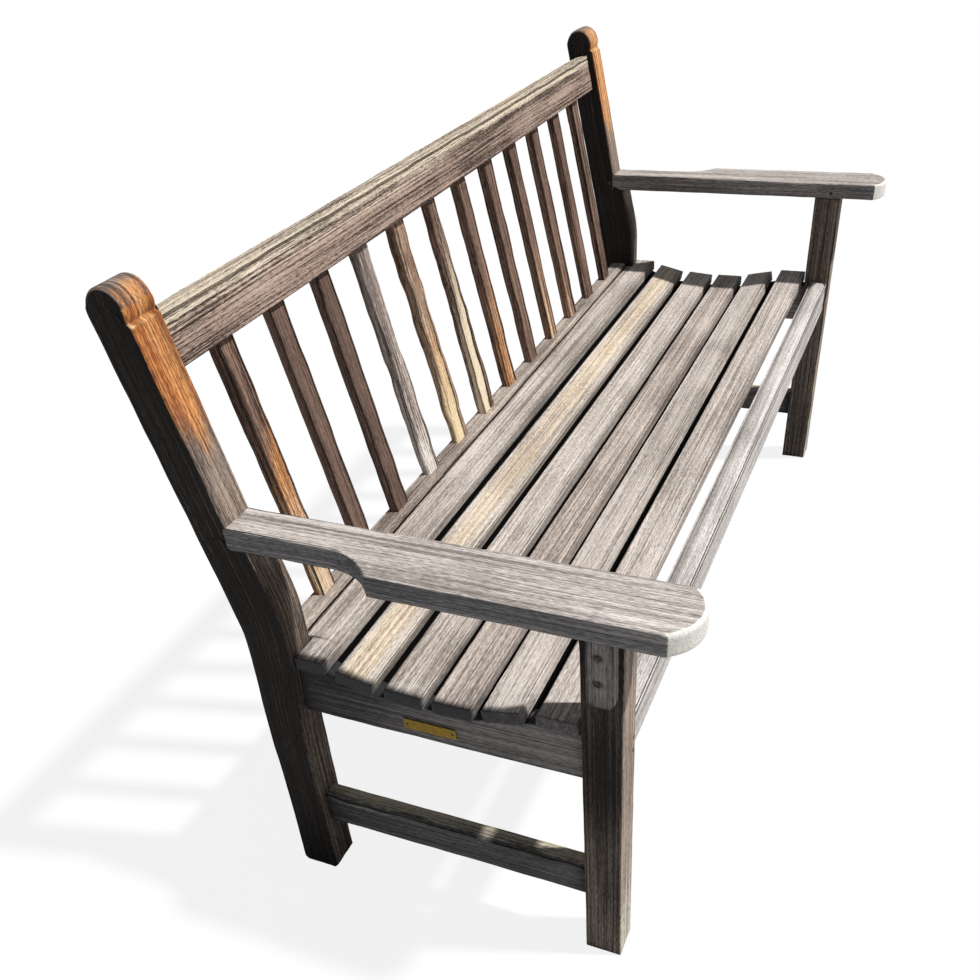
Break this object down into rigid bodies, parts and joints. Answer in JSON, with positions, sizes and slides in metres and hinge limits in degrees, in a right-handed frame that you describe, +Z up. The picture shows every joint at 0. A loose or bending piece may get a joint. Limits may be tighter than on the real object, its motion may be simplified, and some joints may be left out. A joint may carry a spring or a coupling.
{
  "type": "garden bench",
  "caption": "Long weathered teak garden bench with a raked slatted back, a dished slatted seat, flat flared arms and pegged mortise and tenon end frames.",
  "frame": {"origin": "middle of the bench's footprint box, on the ground the feet stand on", "axes": "+X along the bench, the bench faces -Y, +Z up; left is the -X end"},
  "size_m": [1.6006, 0.6678, 0.8939],
  "materials": {
    "teak_seat": "weathered, unfinished",
    "teak_arm": "weathered, unfinished",
    "teak_back": "weathered, unfinished",
    "teak_frame": "weathered, unfinished",
    "teak_peg": "weathered end grain",
    "screw_steel": "tarnished",
    "plate_brass": "tarnished, blank"
  },
  "bodies": {
    "root": {"seat_slat_1": "teak_seat", "seat_slat_2": "teak_seat", "seat_slat_3": "teak_seat", "seat_slat_4": "teak_seat", "seat_slat_5": "teak_seat", "seat_slat_6": "teak_seat", "front_seat_rail": "teak_seat", "arm_left": "teak_arm", "arm_right": "teak_arm", "top_rail": "teak_back", "back_slat_01": "teak_back", "back_slat_02": "teak_back", "back_slat_03": "teak_back", "back_slat_04": "teak_back", "back_slat_05": "teak_back", "back_slat_06": "teak_back", "back_slat_07": "teak_back", "back_slat_08": "teak_back", "back_slat_09": "teak_back", "back_slat_10": "teak_back", "back_slat_11": "teak_back", "back_slat_12": "teak_back", "back_post_left": "teak_frame", "back_post_right": "teak_frame", "front_leg_left": "teak_frame", "front_leg_right": "teak_frame", "side_rail_left": "teak_frame", "side_rail_right": "teak_frame", "lower_stretcher_left": "teak_frame", "lower_stretcher_right": "teak_frame", "arm_block_left": "teak_frame", "arm_block_right": "teak_frame", "lower_back_rail": "teak_frame", "arm_leg_peg_left": "teak_peg", "arm_leg_peg_right": "teak_peg", "arm_post_peg_left": "teak_peg", "arm_post_peg_right": "teak_peg", "front_rail_peg_left_1": "teak_peg", "front_rail_peg_left_2": "teak_peg", "front_rail_peg_right_1": "teak_peg", "front_rail_peg_right_2": "teak_peg", "arm_block_screw_left_1": "screw_steel", "arm_block_screw_left_2": "screw_steel", "arm_block_screw_right_1": "screw_steel", "arm_block_screw_right_2": "screw_steel", "seat_screw_left_1": "screw_steel", "seat_screw_left_2": "screw_steel", "seat_screw_left_3": "screw_steel", "seat_screw_left_4": "screw_steel", "seat_screw_left_5": "screw_steel", "seat_screw_left_6": "screw_steel", "seat_screw_right_1": "screw_steel", "seat_screw_right_2": "screw_steel", "seat_screw_right_3": "screw_steel", "seat_screw_right_4": "screw_steel", "seat_screw_right_5": "screw_steel", "seat_screw_right_6": "screw_steel", "blank_plate": "plate_brass", "plate_pin_1": "plate_brass", "plate_pin_2": "plate_brass"}
  },
  "joints": []
}
